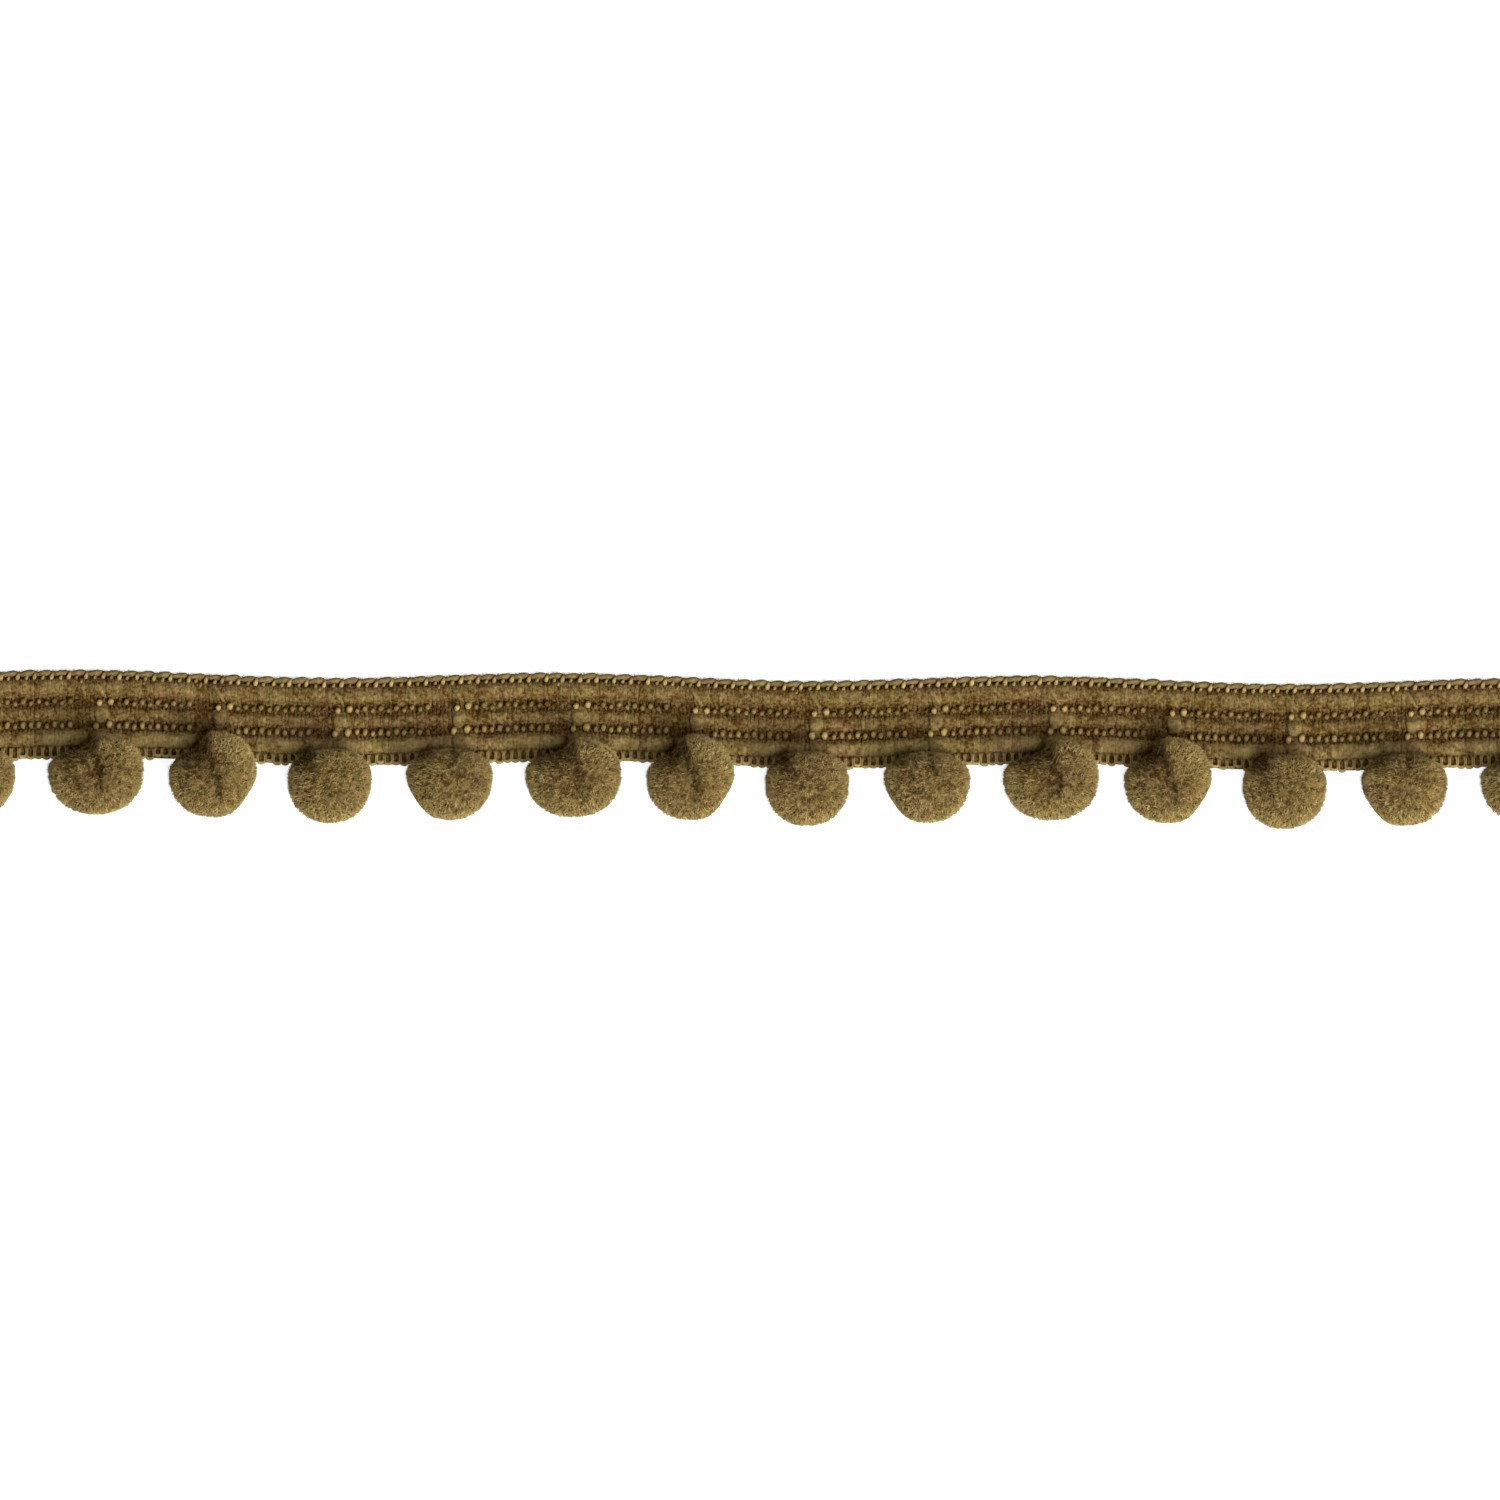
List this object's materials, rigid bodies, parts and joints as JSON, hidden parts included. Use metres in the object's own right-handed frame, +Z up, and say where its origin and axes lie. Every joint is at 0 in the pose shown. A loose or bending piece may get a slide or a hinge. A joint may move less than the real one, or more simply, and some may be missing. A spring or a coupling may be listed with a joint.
{
  "type": "pompom fringe trim",
  "caption": "Straight cut length of pompom fringe trim: a flat knitted heading with a corded edge, and small cut-pile balls bound in a row to its looped edge.",
  "frame": {"origin": "on the surface that the trim lies on, under the middle of its box", "axes": "+X along the trim, +Y from the pompoms to the heading's corded edge, +Z up out of its face"},
  "size_m": [0.2002, 0.0192, 0.0092],
  "materials": {
    "heading_yarn": "warm brown knitted and inlaid yarn, matt and fuzzy, with lighter twisted edges",
    "pompom_pile": "golden brown cut pile, soft and velvety"
  },
  "bodies": {
    "root": {"heading": "heading_yarn", "pompom_01": "pompom_pile", "pompom_02": "pompom_pile", "pompom_03": "pompom_pile", "pompom_04": "pompom_pile", "pompom_05": "pompom_pile", "pompom_06": "pompom_pile", "pompom_07": "pompom_pile", "pompom_08": "pompom_pile", "pompom_09": "pompom_pile", "pompom_10": "pompom_pile", "pompom_11": "pompom_pile", "pompom_12": "pompom_pile", "pompom_13": "pompom_pile", "pompom_14": "pompom_pile"}
  },
  "joints": []
}
